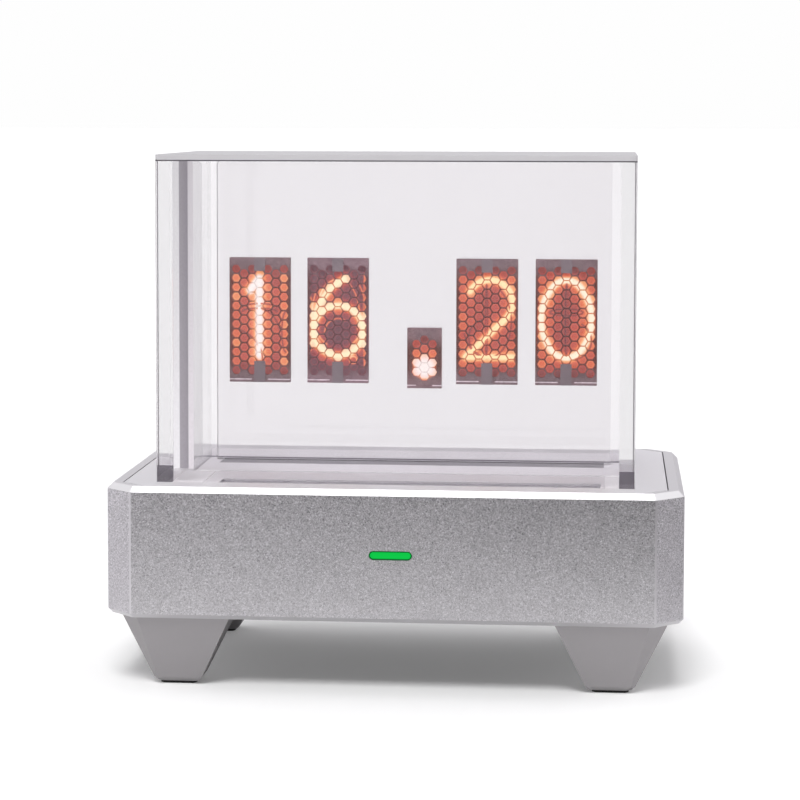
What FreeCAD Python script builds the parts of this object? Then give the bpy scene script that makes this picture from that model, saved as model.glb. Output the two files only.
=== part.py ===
import FreeCAD, Part
import math
import os

from FreeCAD import Vector

# Holographic desk clock: a low metal base on four tapered feet carries a clear hood.
# A clear display plate stands in the hood and carries four digit cells and a dot cell.
# Millimetres. X is the clock's width, -Y its front and +Z up. The origin is on the
# surface that the clock stands on, under the middle of its base.

# Base housing
base_width = 130.0
base_depth = 78.0
base_height = 29.8
corner_chamfer = 6.3
corner_edge_break = 0.3
top_bevel = 1.3
bottom_bevel = 1.0
wall = 4.5

# Feet and their pads
foot_height = 15.4
foot_side_inset = 3.4
foot_width_top = 25.1
foot_width_low = 11.0
foot_outer_slope = 7.2
foot_front_inset = 1.4
foot_front_slope = 4.0
foot_depth_top = 21.0
foot_depth_low = 9.0
foot_chamfer_top = 4.2
foot_chamfer_low = 1.0
foot_toe_bevel = 0.9
pad_thickness = 1.2
pad_sunk = 0.6
pad_margin = 0.5
pad_corner = 0.8

# Deck: the plate let into the top of the base, and the floor under the hood
plate_thickness = 2.0
plate_rim = 3.5
plate_side_gap = 0.3
plate_end_gap = 0.1
tray_thickness = 3.0
tray_gap = 0.2
slip = 0.1

# Bottom cover
cover_thickness = 3.0
cover_rim = 3.0
cover_gap = 0.15

# Hood of clear panes, bonded at their edges
hood_side_margin = 11.0
hood_end_margin = 8.0
hood_height = 74.2
pane = 3.5
top_pane = 1.2
sill_height = 2.8
pane_edge_bevel = 0.4
gasket_thickness = 0.8

# Deck insert with the lamp window, at the front inside the hood
insert_left_margin = 7.3
insert_right_margin = 3.35
insert_depth = 19.5
insert_gap = 0.15
window_left_margin = 3.5
window_right_margin = 0.75
window_depth = 7.2
window_lip = 0.8
window_recess = 0.4

# Display plate and the seat that holds its foot
display_side_gap = 2.0
display_rear_gap = 1.5
display_thickness = 2.0
display_corner = 1.6
display_top_gap = 0.2
seat_inset = 1.5
seat_front_lip = 6.2
seat_rear_lip = 1.0
seat_thickness = 1.6
seat_foot = 0.8

# Digit cells
cell_side_margin = 3.4
cell_gap = 4.3
middle_gap = 21.6
cell_height = 30.7
cell_floor = 17.5
dot_centre = 3.0
dot_width = 8.4
dot_height = 14.8
dot_floor = 16.4
backing_thickness = 0.6
grid_rim = 0.35
grid_margin = 1.6
grid_thickness = 0.25
grid_stand_off = 1.25
hex_pitch = 2.28
hex_wire = 0.28
tab_width = 2.7
tab_up = 5.2
tab_down = 3.3
tab_thickness = 0.3

# Numerals: strokes of flat wire between the backing and the grid
numeral_height = 18.9
numeral_margin = 1.35
numeral_floor = 6.6
stroke = 0.7
stroke_depth = 0.35
stroke_gap = 0.05
one_flag = 2.2
one_lean = 0.3
six_reach = 1.4
zero_end_radius = 4.3
two_turn = 46.0
two_start = 150.0
dot_radius = 1.6

# Status light on the front face
pill_width = 9.7
pill_height = 2.05
pill_rise = 0.3
pill_gap = 0.05
pill_inset = 0.2
pill_flange = 1.2
pill_arm = 5.0
pill_led_gap = 0.2

# Power inlet, in the middle of the rear face
inlet_width = 8.94
inlet_height = 3.26
inlet_length = 7.35
inlet_shell = 0.3
inlet_set_back = 0.6
inlet_gap = 0.25
tongue_width = 6.7
tongue_thickness = 0.7

# Setting buttons on the rear face
button_radius = 2.5
button_gap = 0.06
button_proud = 0.8
button_travel = 0.5
button_flange = 3.4
flange_thickness = 0.8
button_count = 3
button_pitch = 10.0
button_end_margin = 6.5
plunger_radius = 1.0
plunger_gap = 0.08
plunger_grip = 1.2
plunger_play = 0.3
button_edge = 0.3
switch_size = 6.0
switch_depth = 4.0

# Main board and what stands on it
board_thickness = 1.6
board_side_margin = 10.0
board_end_margin = 3.0
board_stand = 4.0
board_screw_side = 8.5
board_screw_end = 9.5
tab_half_width = 8.0
tab_gap = 0.3
pocket_depth = 1.7
chip_size = 7.0
chip_height = 1.0
chip_y = -8.0
driver_size = 4.0
driver_x = 20.0
driver_y = -16.0
cell_radius = 10.0
cell_thickness = 3.2
cell_x = -22.0
holder_wall = 1.2
holder_floor = 0.6
holder_height = 2.8
holder_gap = 0.3
holder_notch = 8.0
status_led_size = 1.8
status_led_height = 0.8

# Lamp board under the window
lamp_board_margin = 4.0
lamp_size = 2.8
lamp_height = 0.9
lamp_count = 9
header_end_margin = 21.6
header_width = 15.2
header_depth = 2.5

# Fasteners and what they go into
post_size = 8.0
post_foot_margin = 4.1
post_screw_edge = 3.4
screw_radius = 1.5
screw_hole_gap = 0.15
screw_head_radius = 2.6
screw_head_height = 1.7
core_depth = 9.0
socket_radius = 1.0
socket_depth = 0.9
cover_screw_length = 9.0
tray_screw_length = 8.0
foot_screw_length = 8.0
small_radius = 1.0
small_head_radius = 1.9
small_head_height = 1.3
small_socket_radius = 0.65
board_screw_length = 5.0
board_core_depth = 5.0
lamp_screw_length = 4.0
lamp_core_depth = 2.6
boss_radius = 3.2

# Heights and limits worked out from the sizes above
rest_gap = pad_thickness - pad_sunk
base_low = foot_height + rest_gap
deck = base_low + base_height
tray_top = deck - plate_thickness
tray_low = tray_top - tray_thickness
cover_top = base_low + cover_thickness
board_low = cover_top + board_stand
board_top = board_low + board_thickness
half_width = base_width / 2
half_depth = base_depth / 2
cavity_x = half_width - wall
cavity_y = half_depth - wall
cavity_clip = corner_chamfer - wall * (2 - math.sqrt(2))
board_half_width = cavity_x - board_side_margin
board_half_depth = cavity_y - board_end_margin

# The hood and what stands inside it
hood_x = half_width - hood_side_margin
hood_y = half_depth - hood_end_margin
hood_top = deck + hood_height
wall_top = hood_top - top_pane
inner_x = hood_x - pane
inner_y = hood_y - pane
insert_left = -inner_x + insert_left_margin
insert_right = inner_x - insert_right_margin
insert_front = -hood_y
insert_back = insert_front + insert_depth
window_left = insert_left + window_left_margin
window_right = insert_right - window_right_margin
window_front = insert_front + window_lip
window_back = window_front + window_depth
display_half_width = inner_x - display_side_gap
display_back = inner_y - display_rear_gap
display_front = display_back - display_thickness
seat_half_width = display_half_width - seat_inset
seat_front = display_front - seat_front_lip
seat_back = display_back + seat_rear_lip
cell_width = (display_half_width - cell_side_margin - cell_gap - middle_gap / 2) / 2
cell_inner = (middle_gap + cell_width) / 2
cell_outer = cell_inner + cell_width + cell_gap
cell_centres = (-cell_outer, -cell_inner, cell_inner, cell_outer)
cell_low = deck + cell_floor
dot_low = deck + dot_floor
grid_back = display_front - backing_thickness
grid_front = grid_back - grid_stand_off
stroke_y = grid_back - stroke_gap - stroke_depth
numeral_width = cell_width - 2 * numeral_margin

# Feet, light, buttons, inlet and screws
foot_outer_top = half_width - foot_side_inset
foot_inner_top = foot_outer_top - foot_width_top
foot_outer_low = foot_outer_top - foot_outer_slope
foot_inner_low = foot_outer_low - foot_width_low
foot_x = (foot_inner_top + foot_outer_top) / 2
foot_front = -half_depth + foot_front_inset
foot_y = foot_front + foot_depth_top / 2
toe_front = foot_front + foot_front_slope
post_x = cavity_x - post_screw_edge
post_y = -foot_front - foot_depth_top - post_foot_margin
board_screw_x = board_half_width - board_screw_side
board_screw_y = board_half_depth - board_screw_end
pill_z = base_low + base_height / 2 + pill_rise
status_led_y = -board_half_depth + status_led_size / 2
button_z = board_top + switch_size / 2
last_button = board_half_width - button_end_margin
button_xs = [last_button - button_pitch * step for step in reversed(range(button_count))]
inlet_z = board_top + inlet_height / 2
lamp_board_left = window_left + window_lip - lamp_board_margin
lamp_board_right = window_right - window_lip + lamp_board_margin
lamp_y = (window_front + window_back) / 2


def box(x0, x1, y0, y1, z0, z1):
    return Part.makeBox(x1 - x0, y1 - y0, z1 - z0, Vector(x0, y0, z0))


def rod(radius, start, end):
    axis = end - start
    return Part.makeCylinder(radius, axis.Length, start, axis)


def polygon(points, z):
    corners = [Vector(x, y, z) for x, y in points]
    return Part.makePolygon(corners + corners[:1])


def prism(points, z0, z1):
    return Part.Face(polygon(points, z0)).extrude(Vector(0, 0, z1 - z0))


def clipped(half_x, half_y, clip):
    """Outline of a rectangle with its four corners cut at 45 degrees."""
    return [
        (-half_x + clip, -half_y),
        (half_x - clip, -half_y),
        (half_x, -half_y + clip),
        (half_x, half_y - clip),
        (half_x - clip, half_y),
        (-half_x + clip, half_y),
        (-half_x, half_y - clip),
        (-half_x, -half_y + clip),
    ]


def inset_clip(inset):
    """Corner cut of the base's outline when all its sides move inwards by inset."""
    return max(corner_chamfer - inset * (2 - math.sqrt(2)), 0.5)


def base_outline(inset_x, inset_y, clip):
    return clipped(half_width - inset_x, half_depth - inset_y, clip)


def edges_at(shape, test):
    return [edge for edge in shape.Edges if all(test(v.Point) for v in edge.Vertexes)]


def near(value, target):
    return abs(value - target) < 1e-6


def upright_edges(shape, test):
    """Edges along Z whose two ends pass the test."""
    edges = edges_at(shape, test)
    ends = [[vertex.Point for vertex in edge.Vertexes] for edge in edges]
    return [edge for edge, (a, b) in zip(edges, ends) if near(a.x, b.x) and near(a.y, b.y)]


def frustum(low_outline, low_z, high_outline, high_z):
    """A solid with flat sides between two outlines that have the same number of corners."""
    low = [Vector(x, y, low_z) for x, y in low_outline]
    high = [Vector(x, y, high_z) for x, y in high_outline]
    rings = [low, high] + [list(side) for side in zip(low, low[1:] + low[:1], high[1:] + high[:1], high)]
    faces = [Part.Face(Part.makePolygon(ring + ring[:1])) for ring in rings]
    return Part.Solid(Part.Shell(faces))


def mirrored_x(shape):
    return shape.mirror(Vector(0, 0, 0), Vector(1, 0, 0))


def mirrored_y(shape):
    return shape.mirror(Vector(0, 0, 0), Vector(0, 1, 0))


def in_corners(shape):
    """The shape and its three mirror copies, one in each quarter of the base."""
    pair = [shape, mirrored_x(shape)]
    return pair + [mirrored_y(solid) for solid in pair]


def cut_all(shape, tools):
    return shape.cut(Part.makeCompound(tools))


def pill(width, height, y0, y1, z):
    """A bar along Y whose section is a slot with round ends."""
    radius = height / 2
    reach = width / 2 - radius
    ends = [rod(radius, Vector(side * reach, y0, z), Vector(side * reach, y1, z)) for side in (-1, 1)]
    middle = box(-reach, reach, y0, y1, z - radius, z + radius)
    return middle.fuse(ends).removeSplitter()


def hexagon_points(x, z, reach, turn=0):
    angles = [math.radians(60 * step + turn) for step in range(6)]
    return [(x + reach * math.cos(angle), z + reach * math.sin(angle)) for angle in angles]


def hex_socket(point, radius, direction):
    corners = hexagon_points(point.x, point.y, radius)
    return prism(corners, point.z, point.z + direction * socket_depth)


def flat_screw(point, length, direction):
    """A countersunk screw with its head's face at point, driven along Z."""
    axis = Vector(0, 0, direction)
    head = Part.makeCone(screw_head_radius, screw_radius, screw_head_height, point, axis)
    shank = rod(screw_radius, point + axis * screw_head_height, point + axis * length)
    return head.fuse(shank).cut(hex_socket(point, socket_radius, direction)).removeSplitter()


def pan_screw(point, radius, length, direction):
    """A pan-head screw with the underside of its head at point, driven along Z."""
    axis = Vector(0, 0, direction)
    large = near(radius, screw_radius)
    head_radius = screw_head_radius if large else small_head_radius
    head_height = screw_head_height if large else small_head_height
    head_top = point - axis * head_height
    screw = rod(head_radius, head_top, point).fuse(rod(radius, point, point + axis * length))
    socket = hex_socket(head_top, socket_radius if large else small_socket_radius, direction)
    return screw.cut(socket).removeSplitter()


def countersink(point, direction):
    """The room for a flat screw's head and the hole for its shank."""
    axis = Vector(0, 0, direction)
    wide = screw_head_radius + screw_hole_gap
    narrow = screw_radius + screw_hole_gap
    cone = Part.makeCone(wide, narrow, screw_head_height, point, axis)
    return cone.fuse(rod(narrow, point, point + axis * cover_thickness))


def tapped(point, direction, depth=core_depth, radius=screw_radius):
    return rod(radius, point, point + Vector(0, 0, direction * depth))


def four_points(x, y, z):
    return [Vector(side * x, end * y, z) for side in (-1, 1) for end in (-1, 1)]


def post_points(z):
    return four_points(post_x, post_y, z)


def foot_points(z):
    return four_points(foot_x, foot_y, z)


def board_points(z):
    return four_points(board_screw_x, board_screw_y, z)


def lamp_screw_points(z):
    middle = lamp_board_margin / 2
    return [Vector(x, lamp_y, z) for x in (lamp_board_left + middle, lamp_board_right - middle)]


def base_shell():
    shell = prism(base_outline(0, 0, corner_chamfer), base_low, deck)
    shell = shell.makeChamfer(corner_edge_break, upright_edges(shell, lambda p: True))
    shell = shell.makeChamfer(top_bevel, edges_at(shell, lambda p: near(p.z, deck)))
    shell = shell.makeChamfer(bottom_bevel, edges_at(shell, lambda p: near(p.z, base_low)))
    plate_seat = prism(base_outline(plate_rim, top_bevel, inset_clip(top_bevel)), tray_top, deck)
    cavity = prism(clipped(cavity_x, cavity_y, cavity_clip), cover_top, tray_top)
    cover_seat = prism(base_outline(cover_rim, cover_rim, inset_clip(cover_rim)), base_low, cover_top)
    post_inner = post_x - post_size / 2
    post = box(post_inner, cavity_x, -post_y - post_size / 2, -post_y + post_size / 2, cover_top, tray_low)
    cavity = cut_all(cavity, in_corners(post))
    shell = cut_all(shell, [plate_seat, cavity, cover_seat])
    cuts = [tapped(point, 1) for point in post_points(cover_top)]
    cuts += [tapped(point, -1) for point in post_points(tray_low)]
    cuts.append(pill(pill_width, pill_height, -half_depth, -cavity_y, pill_z))
    cuts += inlet_cuts()
    for x in button_xs:
        radius = button_radius + button_gap
        cuts.append(rod(radius, Vector(x, cavity_y, button_z), Vector(x, half_depth, button_z)))
    return cut_all(shell, cuts)


def inlet_cuts():
    """The slot for the inlet, and the pocket inside the wall for the board's tab."""
    width = inlet_width + 2 * inlet_gap
    height = inlet_height + 2 * inlet_gap
    slot = pill(width, height, cavity_y, half_depth, inlet_z)
    side = tab_half_width + tab_gap
    pocket = box(-side, side, cavity_y, cavity_y + pocket_depth, cover_top, inlet_z + height / 2 + tab_gap)
    return [slot, pocket]


def plate_opening():
    """What the hood takes out of the top plate: its own room, less two tongues at the front."""
    hood_room = box(-hood_x - slip, hood_x + slip, -hood_y, hood_y + slip, tray_top, deck)
    inner = inner_x - slip
    left = box(-inner, insert_left - insert_gap, -hood_y, insert_back, tray_top, deck)
    right = box(insert_right + insert_gap, inner, -hood_y, insert_back, tray_top, deck)
    return cut_all(hood_room, [left, right])


def top_plate():
    inset_x = plate_rim + plate_side_gap
    inset_y = top_bevel + plate_end_gap
    outline = base_outline(inset_x, inset_y, inset_clip(top_bevel) + plate_end_gap)
    plate = prism(outline, tray_top, deck)
    return plate.cut(plate_opening())


def window_opening(z0, z1, grow):
    return box(window_left - grow, window_right + grow, window_front - grow, window_back + grow, z0, z1)


def deck_insert():
    insert = box(insert_left, insert_right, insert_front + slip, insert_back, tray_top, deck)
    opening = window_opening(tray_top, deck, 0)
    return insert.cut(opening)


def lamp_window():
    return window_opening(tray_top, deck - window_recess, -slip)


def hood_tray():
    """Floor under the hood, with the room for the lamps, the seat and the gaskets."""
    clip = cavity_clip + tray_gap
    tray = prism(clipped(cavity_x - tray_gap, cavity_y - tray_gap, clip), tray_low, tray_top)
    lamp_room = window_opening(tray_low, tray_top, -window_lip)
    seat_low = tray_top - seat_thickness
    seat_room = box(-seat_half_width, seat_half_width, seat_front, seat_back, seat_low, tray_top)
    cuts = [lamp_room, seat_room] + side_gasket_rooms()
    cuts += [countersink(point, -1) for point in post_points(tray_top)]
    cuts += [tapped(point, 1, lamp_core_depth, small_radius) for point in lamp_screw_points(tray_low)]
    return cut_all(tray, cuts)


def side_gasket_rooms():
    right = box(inner_x, hood_x, -hood_y, hood_y, tray_top - gasket_thickness, tray_top)
    return [right, mirrored_x(right)]


def beveled(panel, y):
    """The pane with its two upright outer edges at y cut."""
    at_corners = lambda p: near(p.y, y) and near(abs(p.x), hood_x)
    return panel.makeChamfer(pane_edge_bevel, upright_edges(panel, at_corners))


def hood_panes():
    """Four walls and the sill under the front one, with a thin lid that lies on the walls."""
    front = box(-hood_x, hood_x, -hood_y, -inner_y, deck + sill_height, wall_top)
    back = box(-hood_x, hood_x, inner_y, hood_y, tray_top, wall_top)
    side = box(inner_x, hood_x, -inner_y, inner_y, tray_top, wall_top)
    front_sill = box(-hood_x, hood_x, -hood_y, -inner_y, deck, deck + sill_height)
    corner_foot = box(inner_x + slip, hood_x, -hood_y, -inner_y, tray_top, deck)
    front_sill = front_sill.fuse([corner_foot, mirrored_x(corner_foot)]).removeSplitter()
    return {
        "hood_front_pane": beveled(front, -hood_y),
        "hood_front_sill": beveled(front_sill, -hood_y),
        "hood_back_pane": beveled(back, hood_y),
        "hood_left_pane": mirrored_x(side),
        "hood_right_pane": side,
        "hood_top_pane": prism(clipped(hood_x, hood_y, pane_edge_bevel), wall_top, hood_top),
    }


def display_plate():
    low = tray_top - seat_foot
    high = wall_top - display_top_gap
    plate = box(-display_half_width, display_half_width, display_front, display_back, low, high)
    upper = edges_at(plate, lambda p: near(p.z, high))
    ends = [edge for edge in upper if near(edge.Vertexes[0].X, edge.Vertexes[1].X)]
    plate = plate.makeChamfer(display_corner, ends)
    beside = box(seat_half_width - slip, display_half_width, display_front, display_back, low, tray_top)
    return cut_all(plate, [beside, mirrored_x(beside)])


def display_seat():
    low = tray_top - seat_thickness
    seat = box(-seat_half_width, seat_half_width, seat_front, seat_back, low, tray_top)
    slot_low = tray_top - seat_foot
    slot = box(-seat_half_width, seat_half_width, display_front, display_back, slot_low, tray_top)
    return seat.cut(slot)


def cell_backing(x, width, height, low):
    return box(x - width / 2, x + width / 2, grid_back, display_front, low, low + height)


def hexagon_cut(x, z, reach):
    points = [Vector(px, grid_front, pz) for px, pz in hexagon_points(x, z, reach)]
    return Part.Face(Part.makePolygon(points + points[:1])).extrude(Vector(0, grid_thickness, 0))


def honeycomb(x, width, height, low):
    """A thin plate of hexagonal holes in a rim that stands it off the backing."""
    outer = box(x - width / 2, x + width / 2, grid_front, grid_back, low, low + height)
    half = width / 2 - grid_rim
    inner_y = grid_front + grid_thickness
    room = box(x - half, x + half, inner_y, grid_back, low + grid_rim, low + height - grid_rim)
    reach = (hex_pitch - hex_wire) / math.sqrt(3)
    column_pitch = hex_pitch * math.sqrt(3) / 2
    columns = int((half - reach) / column_pitch)
    holes = []
    for column in range(-columns, columns + 1):
        shift = hex_pitch / 2 if column % 2 else 0
        rows = int((height / 2 - grid_margin - hex_pitch / 2 - shift) / hex_pitch)
        first = -rows - (1 if shift else 0)
        for row in range(first, rows + 1):
            z = low + height / 2 + row * hex_pitch + shift
            holes.append(hexagon_cut(x + column * column_pitch, z, reach))
    return cut_all(outer.cut(room), holes)


def tabs(x, height, low):
    """The two carrier tabs in front of a cell's grid, at the middle of its top and bottom."""
    x0 = x - tab_width / 2
    x1 = x + tab_width / 2
    y0 = grid_front - tab_thickness
    lower = box(x0, x1, y0, grid_front, low, low + tab_up)
    upper = box(x0, x1, y0, grid_front, low + height - tab_down, low + height)
    return [lower, upper]


def stroke_point(x, z):
    return Vector(x, stroke_y, z)


def round_end(point):
    return rod(stroke / 2, point, point + Vector(0, stroke_depth, 0))


def straight(start, end):
    """A straight piece of flat wire with round ends."""
    along = (end - start).normalize()
    side = Vector(along.z, 0, -along.x) * (stroke / 2)
    corners = [start + side, end + side, end - side, start - side]
    bar = Part.Face(Part.makePolygon(corners + corners[:1])).extrude(Vector(0, stroke_depth, 0))
    return bar.fuse([round_end(start), round_end(end)])


def on_arc(centre, radius, angle):
    turn = math.radians(angle)
    return centre + Vector(radius * math.cos(turn), 0, radius * math.sin(turn))


def bent(centre, radius, start, sweep):
    """Flat wire along an arc, anticlockwise from the angle start as seen from the front."""
    inner = on_arc(centre, radius - stroke / 2, start)
    outer = on_arc(centre, radius + stroke / 2, start)
    back = Vector(0, stroke_depth, 0)
    section = Part.Face(Part.makePolygon([inner, outer, outer + back, inner + back, inner]))
    return section.revolve(centre, Vector(0, -1, 0), sweep)


def numeral_one(x, low):
    top = stroke_point(x - one_lean, low + numeral_height)
    foot = stroke_point(x - one_lean, low)
    flag = stroke_point(x - one_lean - one_flag, low + numeral_height - one_flag * 1.3)
    return straight(top, foot).fuse(straight(flag, top)).removeSplitter()


def numeral_six(x, low):
    """A round loop, with an arm that leaves its left side upwards along one large arc."""
    radius = numeral_width / 2
    centre = stroke_point(x, low + radius)
    rise = numeral_height - radius
    arm_radius = (rise ** 2 + (radius + six_reach) ** 2) / (2 * (radius + six_reach))
    arm_centre = centre + Vector(arm_radius - radius, 0, 0)
    arm_sweep = math.degrees(math.asin(rise / arm_radius))
    arm = bent(arm_centre, arm_radius, 180 - arm_sweep, arm_sweep)
    tip = round_end(stroke_point(x + six_reach, low + numeral_height))
    return bent(centre, radius, 0, 360).fuse([arm, tip]).removeSplitter()


def numeral_two(x, low):
    """A hook over the top, a straight neck that leaves it along its tangent, and a foot."""
    radius = numeral_width * 0.45
    centre = stroke_point(x + numeral_width / 2 - radius, low + numeral_height - radius)
    start = on_arc(centre, radius, two_start)
    end = on_arc(centre, radius, -two_turn)
    corner = stroke_point(end.x - (end.z - low) * math.tan(math.radians(two_turn)), low)
    foot_end = stroke_point(x + numeral_width / 2, low)
    pieces = [straight(end, corner), straight(corner, foot_end), round_end(start)]
    return bent(centre, radius, -two_turn, two_start + two_turn).fuse(pieces).removeSplitter()


def numeral_zero(x, low):
    """An oval of four arcs: one at each end, and a larger one at each side that meets them."""
    half_x = numeral_width / 2
    reach = numeral_height / 2 - zero_end_radius
    side_radius = (half_x ** 2 + reach ** 2 - zero_end_radius ** 2) / (2 * (half_x - zero_end_radius))
    side_turn = math.degrees(math.asin(reach / (side_radius - zero_end_radius)))
    middle = stroke_point(x, low + numeral_height / 2)
    shift = Vector(side_radius - half_x, 0, 0)
    rise = Vector(0, 0, reach)
    right = bent(middle - shift, side_radius, -side_turn, 2 * side_turn)
    left = bent(middle + shift, side_radius, 180 - side_turn, 2 * side_turn)
    top = bent(middle + rise, zero_end_radius, side_turn, 180 - 2 * side_turn)
    bottom = bent(middle - rise, zero_end_radius, 180 + side_turn, 180 - 2 * side_turn)
    return right.fuse([left, top, bottom]).removeSplitter()


def dot_mark():
    z = dot_low + dot_height / 3
    return rod(dot_radius, Vector(dot_centre, stroke_y, z), Vector(dot_centre, grid_back, z))


def display_parts():
    parts = {"display_plate": display_plate(), "display_seat": display_seat()}
    numerals = (numeral_one, numeral_six, numeral_two, numeral_zero)
    tab_solids = []
    for number, (x, numeral) in enumerate(zip(cell_centres, numerals), start=1):
        parts[f"digit_backing_{number}"] = cell_backing(x, cell_width, cell_height, cell_low)
        parts[f"digit_grid_{number}"] = honeycomb(x, cell_width, cell_height, cell_low)
        parts[f"digit_wire_{number}"] = numeral(x, cell_low + numeral_floor)
        tab_solids += tabs(x, cell_height, cell_low)
    parts["dot_backing"] = cell_backing(dot_centre, dot_width, dot_height, dot_low)
    parts["dot_grid"] = honeycomb(dot_centre, dot_width, dot_height, dot_low)
    parts["dot_mark"] = dot_mark()
    parts["digit_tabs"] = tab_solids
    return parts


def foot_outline(inner, outer, y_front, y_back, clip):
    """Outline of the front right foot: a rectangle with its outer front corner cut."""
    front = [(inner, y_front), (outer - clip, y_front), (outer, y_front + clip)]
    return front + [(outer, y_back), (inner, y_back)]


def foot_pad():
    half_x = (foot_outer_low - foot_inner_low) / 2 - foot_toe_bevel - pad_margin
    half_y = foot_depth_low / 2 - foot_toe_bevel - pad_margin
    pad = prism(clipped(half_x, half_y, pad_corner), 0, pad_thickness)
    pad.translate(Vector((foot_inner_low + foot_outer_low) / 2, toe_front + foot_depth_low / 2, 0))
    return pad


def foot():
    toe_back = toe_front + foot_depth_low
    back = foot_front + foot_depth_top
    bevel = foot_toe_bevel
    toe_z = rest_gap + bevel
    top = foot_outline(foot_inner_top, foot_outer_top, foot_front, back, foot_chamfer_top)
    low = foot_outline(foot_inner_low, foot_outer_low, toe_front, toe_back, foot_chamfer_low)
    inner = foot_inner_low + bevel
    outer = foot_outer_low - bevel
    sole = foot_outline(inner, outer, toe_front + bevel, toe_back - bevel, foot_chamfer_low)
    leg = frustum(low, toe_z, top, base_low)
    toe = frustum(sole, rest_gap, low, toe_z)
    core = tapped(Vector(foot_x, foot_y, base_low), -1)
    return cut_all(leg.fuse(toe), [foot_pad(), core]).removeSplitter()


def bottom_cover():
    inset = cover_rim + cover_gap
    cover = prism(base_outline(inset, inset, inset_clip(inset)), base_low, cover_top)
    stand = Vector(0, 0, board_stand)
    cover = cover.fuse([rod(boss_radius, point, point + stand) for point in board_points(cover_top)])
    cuts = [countersink(point, 1) for point in post_points(base_low)]
    foot_hole = screw_radius + screw_hole_gap
    cuts += [tapped(point, 1, cover_thickness, foot_hole) for point in foot_points(base_low)]
    cuts += [tapped(point, -1, board_core_depth, small_radius) for point in board_points(board_low)]
    return cut_all(cover, cuts)


def main_board():
    half_x = board_half_width
    half_y = board_half_depth
    board = box(-half_x, half_x, -half_y, half_y, board_low, board_top)
    tab_end = cavity_y + pocket_depth - tab_gap
    tab = box(-tab_half_width, tab_half_width, half_y, tab_end, board_low, board_top)
    hole = small_radius + screw_hole_gap
    holes = [tapped(point, 1, board_thickness, hole) for point in board_points(board_low)]
    return cut_all(board.fuse(tab), holes).removeSplitter()


def on_board(x, y, size, height, z=board_top):
    return box(x - size / 2, x + size / 2, y - size / 2, y + size / 2, z, z + height)


def power_inlet():
    """A power socket: a rounded metal shell with a closed back and a tongue inside."""
    mouth = half_depth - inlet_set_back
    back = mouth - inlet_length
    shell = pill(inlet_width, inlet_height, back, mouth, inlet_z)
    width = inlet_width - 2 * inlet_shell
    height = inlet_height - 2 * inlet_shell
    hollow = pill(width, height, back + inlet_shell, mouth, inlet_z)
    half_x = tongue_width / 2
    half_z = tongue_thickness / 2
    tongue = box(-half_x, half_x, back, mouth - inlet_set_back, inlet_z - half_z, inlet_z + half_z)
    return shell.cut(hollow).fuse(tongue).removeSplitter()


def status_lens():
    """A light guide: the lit pill, a flange behind the wall and an arm down to its light."""
    width = pill_width - 2 * pill_gap
    height = pill_height - 2 * pill_gap
    face = pill(width, height, -half_depth + pill_inset, -cavity_y, pill_z)
    flange_y = -cavity_y + pill_flange
    flange = pill(pill_width + 2 * pill_flange, pill_height + 2 * pill_flange, -cavity_y, flange_y, pill_z)
    half_arm = pill_arm / 2
    arm_y = status_led_y + pill_flange
    low = board_top + status_led_height + pill_led_gap
    arm = box(-half_arm, half_arm, flange_y, arm_y, pill_z - pill_height / 2, pill_z + pill_height / 2)
    drop = box(-half_arm, half_arm, status_led_y - pill_flange, arm_y, low, pill_z)
    return face.fuse([flange, arm, drop]).removeSplitter()


def setting_button(x):
    end = Vector(x, half_depth + button_proud, button_z)
    cap = rod(button_radius, Vector(x, cavity_y, button_z), end)
    cap = cap.makeChamfer(button_edge, edges_at(cap, lambda p: near(p.y, end.y))[:1])
    flange_y = cavity_y - flange_thickness
    flange = rod(button_flange, Vector(x, flange_y, button_z), Vector(x, cavity_y, button_z))
    tip = Vector(x, board_half_depth - plunger_grip, button_z)
    plunger = rod(plunger_radius, tip, Vector(x, flange_y, button_z))
    return cap.fuse([flange, plunger]).removeSplitter()


def button_switch(x):
    half = switch_size / 2
    back = board_half_depth
    body = box(x - half, x + half, back - switch_depth, back, board_top, board_top + switch_size)
    deepest = back - plunger_grip - button_travel - plunger_play
    bore = rod(plunger_radius + plunger_gap, Vector(x, deepest, button_z), Vector(x, back, button_z))
    return body.cut(bore)


def coin_cell():
    low = board_top + holder_floor
    return rod(cell_radius, Vector(cell_x, 0, low), Vector(cell_x, 0, low + cell_thickness))


def cell_holder():
    """A shallow cup for the coin cell, open at both sides so that the cell can be lifted out."""
    base = Vector(cell_x, 0, board_top)
    floor = Vector(cell_x, 0, board_top + holder_floor)
    rim = Vector(cell_x, 0, board_top + holder_height)
    inner = cell_radius + holder_gap
    outer = inner + holder_wall
    cup = rod(outer, base, rim).cut(rod(inner, floor, rim))
    half = holder_notch / 2
    return cup.cut(box(cell_x - half, cell_x + half, -outer, outer, floor.z, rim.z))


def lamp_board():
    half_y = (window_back - window_front) / 2 - window_lip + lamp_board_margin
    low = tray_low - board_thickness
    board = box(lamp_board_left, lamp_board_right, lamp_y - half_y, lamp_y + half_y, low, tray_low)
    hole = small_radius + screw_hole_gap
    return cut_all(board, [tapped(point, 1, board_thickness, hole) for point in lamp_screw_points(low)])


def lamp_leds():
    """A row of lights under the window, evenly spaced along it."""
    left = window_left + window_lip
    pitch = (window_right - window_lip - left) / lamp_count
    centres = [left + pitch * (number + 0.5) for number in range(lamp_count)]
    return [on_board(x, lamp_y, lamp_size, lamp_height, tray_low) for x in centres]


def lamp_header():
    x0 = lamp_board_right - header_end_margin - header_width / 2
    y0 = lamp_y - header_depth / 2
    return box(x0, x0 + header_width, y0, y0 + header_depth, board_top, tray_low - board_thickness)


def flat_screws(points, length, direction):
    return [flat_screw(point, length, direction) for point in points]


def pan_screws(points, radius, length, direction):
    return [pan_screw(point, radius, length, direction) for point in points]


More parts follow.
